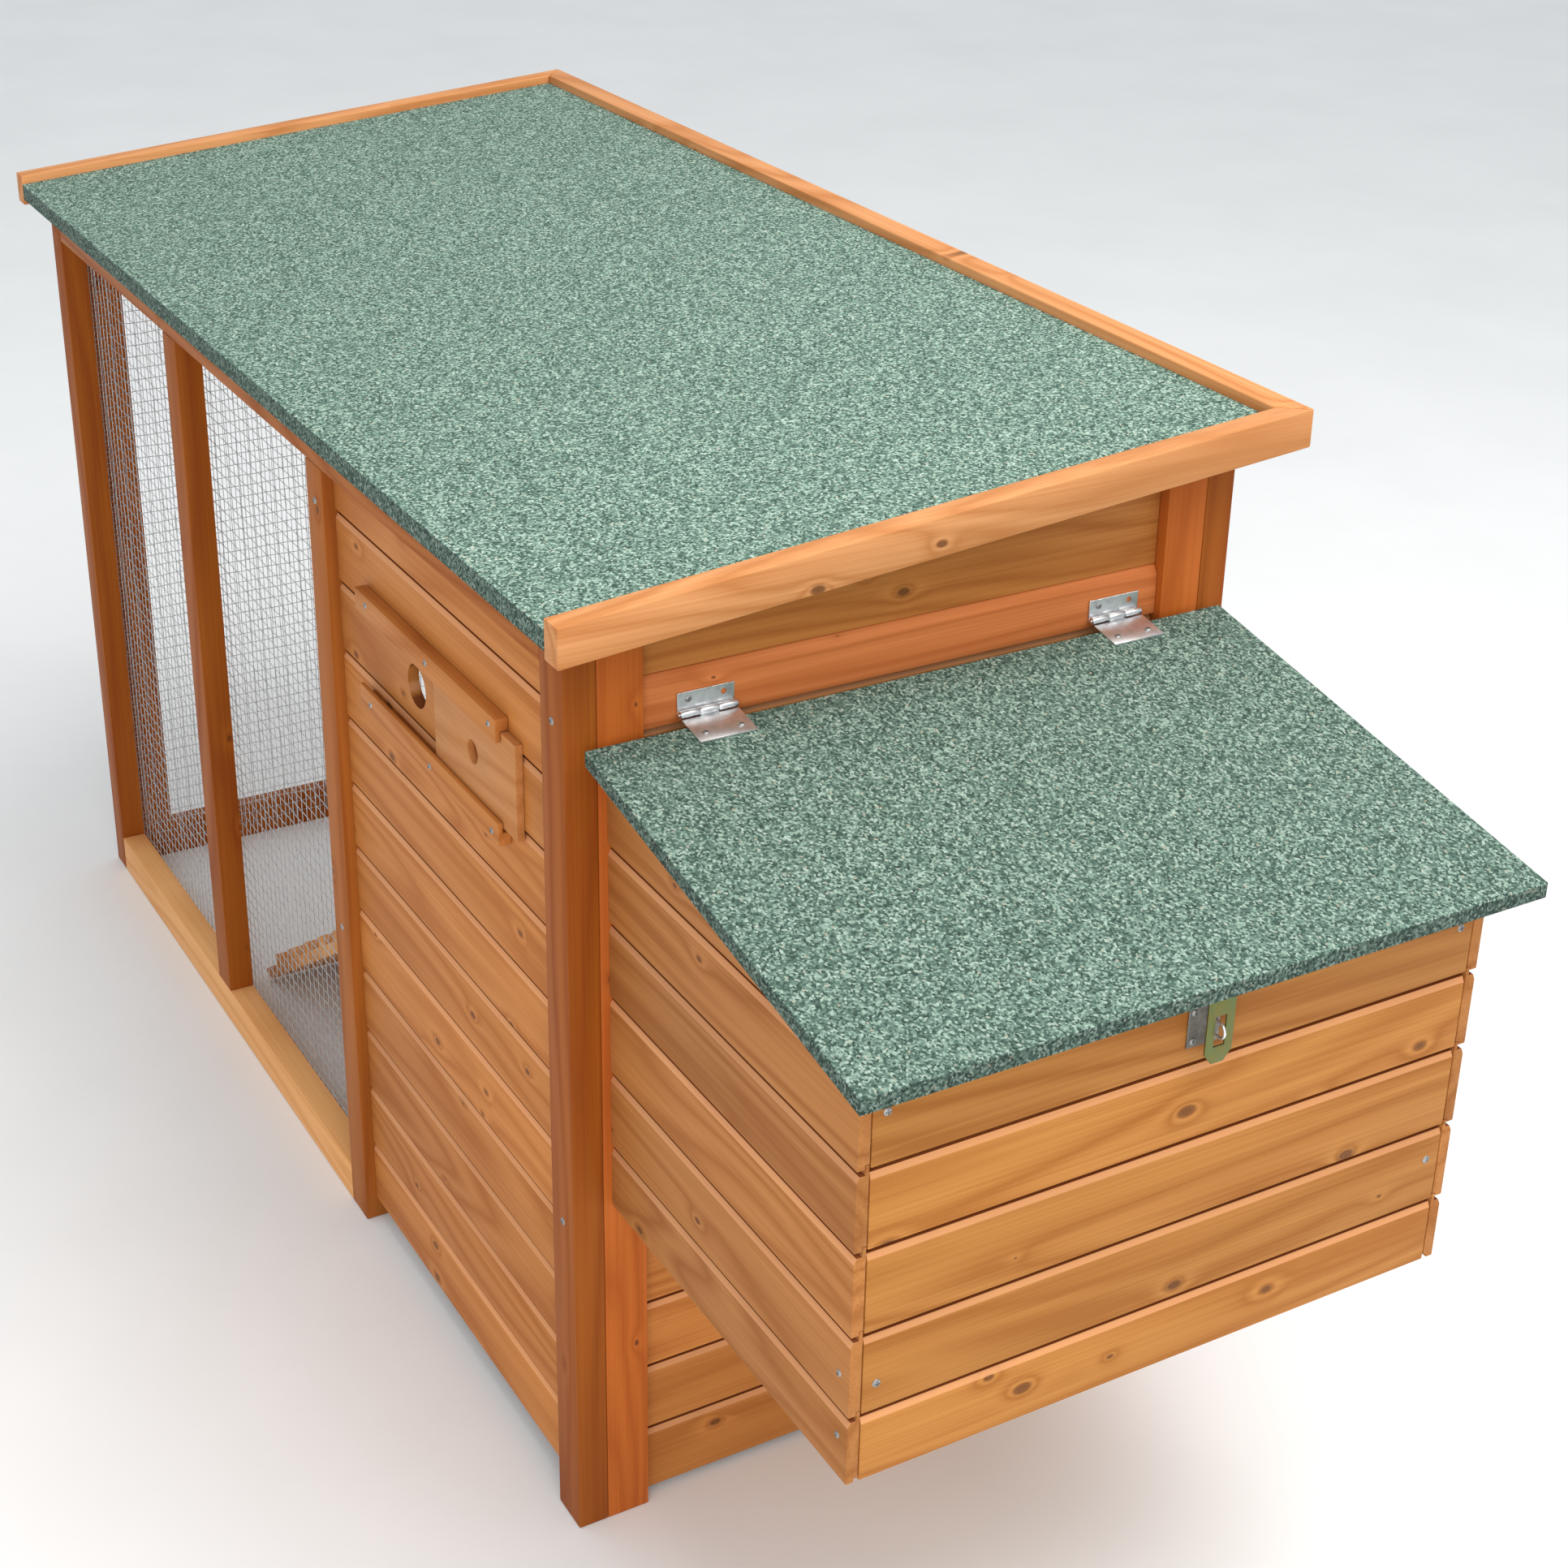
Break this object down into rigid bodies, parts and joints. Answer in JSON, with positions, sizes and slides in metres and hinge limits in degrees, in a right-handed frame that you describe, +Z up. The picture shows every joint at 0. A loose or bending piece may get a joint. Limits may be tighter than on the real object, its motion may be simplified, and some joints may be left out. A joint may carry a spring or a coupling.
{
  "type": "chicken coop",
  "caption": "Raised wooden hen house with a covered wire run, felted pent roof, sliding vent, ramp and a lift-lid nest box closed by a hasp.",
  "frame": {"origin": "on the ground, under the middle of the whole coop's bounding box", "axes": "+X along the length towards the nest box, +Y towards the high back of the roof, +Z up"},
  "size_m": [1.6457, 0.621, 0.8495],
  "materials": {
    "back_bottom_rail": "honey-orange stained softwood",
    "back_cladding": "honey-orange stained softwood",
    "back_corner_post": "honey-orange stained softwood",
    "back_house_post": "honey-orange stained softwood",
    "back_left_post": "honey-orange stained softwood",
    "back_mesh": "galvanised welded wire mesh",
    "back_middle_post": "honey-orange stained softwood",
    "back_top_rail": "honey-orange stained softwood",
    "end_back_stile": "honey-orange stained softwood",
    "end_cladding": "honey-orange stained softwood",
    "end_front_stile": "honey-orange stained softwood",
    "end_top_board": "honey-orange stained softwood",
    "front_bottom_rail": "honey-orange stained softwood",
    "front_cladding": "honey-orange stained softwood",
    "front_corner_post": "honey-orange stained softwood",
    "front_house_post": "honey-orange stained softwood",
    "front_left_post": "honey-orange stained softwood",
    "front_mesh": "galvanised welded wire mesh",
    "front_middle_post": "honey-orange stained softwood",
    "front_top_rail": "honey-orange stained softwood",
    "hasp_leaf": "olive passivated zinc",
    "hasp_strap": "olive passivated zinc",
    "hinge_board": "honey-orange stained softwood",
    "house_floor": "plain plywood",
    "left_end_frame": "honey-orange stained softwood",
    "left_end_mesh": "galvanised welded wire mesh",
    "lid_board": "plain plywood",
    "lid_felt": "green mineral roofing felt",
    "lid_hinge_far_lid_leaf": "bright zinc plate",
    "lid_hinge_far_pin": "bright zinc plate",
    "lid_hinge_far_wall_leaf": "bright zinc plate",
    "lid_hinge_near_lid_leaf": "bright zinc plate",
    "lid_hinge_near_pin": "bright zinc plate",
    "lid_hinge_near_wall_leaf": "bright zinc plate",
    "nest_divider": "plain plywood",
    "nest_far_side": "honey-orange stained softwood",
    "nest_floor": "plain plywood",
    "nest_front_wall": "honey-orange stained softwood",
    "nest_near_side": "honey-orange stained softwood",
    "partition": "honey-orange stained softwood",
    "perch": "honey-orange stained softwood",
    "ramp": "honey-orange stained softwood",
    "ramp_hinge_pin": "bright zinc plate",
    "roof_board": "plain plywood",
    "roof_felt": "green mineral roofing felt",
    "roof_trim_back": "honey-orange stained softwood",
    "roof_trim_left": "honey-orange stained softwood",
    "roof_trim_right": "honey-orange stained softwood",
    "run_door_button": "honey-orange stained softwood",
    "run_door_frame": "honey-orange stained softwood",
    "run_door_lower_fixed_leaf": "bright zinc plate",
    "run_door_lower_moving_leaf": "bright zinc plate",
    "run_door_mesh": "galvanised welded wire mesh",
    "run_door_upper_fixed_leaf": "bright zinc plate",
    "run_door_upper_moving_leaf": "bright zinc plate",
    "staple": "bright zinc plate",
    "staple_plate": "bright zinc plate",
    "vent_rail_lower": "honey-orange stained softwood",
    "vent_rail_upper": "honey-orange stained softwood",
    "vent_slide": "honey-orange stained softwood"
  },
  "bodies": {
    "coop": {"back_bottom_rail": "back_bottom_rail", "back_cladding": "back_cladding", "back_corner_post": "back_corner_post", "back_house_post": "back_house_post", "back_left_post": "back_left_post", "back_mesh": "back_mesh", "back_middle_post": "back_middle_post", "back_top_rail": "back_top_rail", "end_back_stile": "end_back_stile", "end_cladding": "end_cladding", "end_front_stile": "end_front_stile", "end_top_board": "end_top_board", "front_bottom_rail": "front_bottom_rail", "front_cladding": "front_cladding", "front_corner_post": "front_corner_post", "front_house_post": "front_house_post", "front_left_post": "front_left_post", "front_mesh": "front_mesh", "front_middle_post": "front_middle_post", "front_top_rail": "front_top_rail", "hinge_board": "hinge_board", "house_floor": "house_floor", "left_end_frame": "left_end_frame", "left_end_mesh": "left_end_mesh", "lid_hinge_far_pin": "lid_hinge_far_pin", "lid_hinge_far_wall_leaf": "lid_hinge_far_wall_leaf", "lid_hinge_near_pin": "lid_hinge_near_pin", "lid_hinge_near_wall_leaf": "lid_hinge_near_wall_leaf", "nest_divider": "nest_divider", "nest_far_side": "nest_far_side", "nest_floor": "nest_floor", "nest_front_wall": "nest_front_wall", "nest_near_side": "nest_near_side", "partition": "partition", "perch": "perch", "ramp_hinge_pin": "ramp_hinge_pin", "roof_board": "roof_board", "roof_felt": "roof_felt", "roof_trim_back": "roof_trim_back", "roof_trim_left": "roof_trim_left", "roof_trim_right": "roof_trim_right", "run_door_lower_fixed_leaf": "run_door_lower_fixed_leaf", "run_door_upper_fixed_leaf": "run_door_upper_fixed_leaf", "staple": "staple", "staple_plate": "staple_plate", "vent_rail_lower": "vent_rail_lower", "vent_rail_upper": "vent_rail_upper"},
    "lid": {"lid_board": "lid_board", "lid_felt": "lid_felt", "lid_hinge_near_lid_leaf": "lid_hinge_near_lid_leaf", "lid_hinge_far_lid_leaf": "lid_hinge_far_lid_leaf", "hasp_leaf": "hasp_leaf"},
    "hasp": {"hasp_strap": "hasp_strap"},
    "slide": {"vent_slide": "vent_slide"},
    "ramp": {"ramp": "ramp"},
    "run_door": {"run_door_frame": "run_door_frame", "run_door_mesh": "run_door_mesh", "run_door_lower_moving_leaf": "run_door_lower_moving_leaf", "run_door_upper_moving_leaf": "run_door_upper_moving_leaf"},
    "door_button": {"run_door_button": "run_door_button"}
  },
  "joints": [
    {"name": "lid_hinge", "type": "hinge", "parent": "coop", "child": "lid", "pos_m": [0.4502, -0.00825, 0.6945], "axis": [0, -1, 0], "range_deg": [0, 72]},
    {"name": "hasp_pivot", "type": "hinge", "parent": "lid", "child": "hasp", "pos_m": [0.8012, 0.0055, 0.6085], "axis": [0, -1, 0], "range_deg": [0, 80]},
    {"name": "vent_slide_run", "type": "slide", "parent": "coop", "child": "slide", "axis": [-1, 0, 0], "range_m": [0, 0.14]},
    {"name": "ramp_hinge", "type": "hinge", "parent": "coop", "child": "ramp", "pos_m": [-0.0348, -0.1275, 0.296], "axis": [0, 1, 0], "range_deg": [0, 90]},
    {"name": "run_door_hinge", "type": "hinge", "parent": "coop", "child": "run_door", "pos_m": [-0.7525, 0.2768, 0.408], "axis": [0, 0, 1], "range_deg": [0, 100]},
    {"name": "door_button_turn", "type": "hinge", "parent": "coop", "child": "door_button", "pos_m": [-0.3988, 0.2741, 0.42], "axis": [0, 1, 0], "range_deg": [0, 90]}
  ]
}
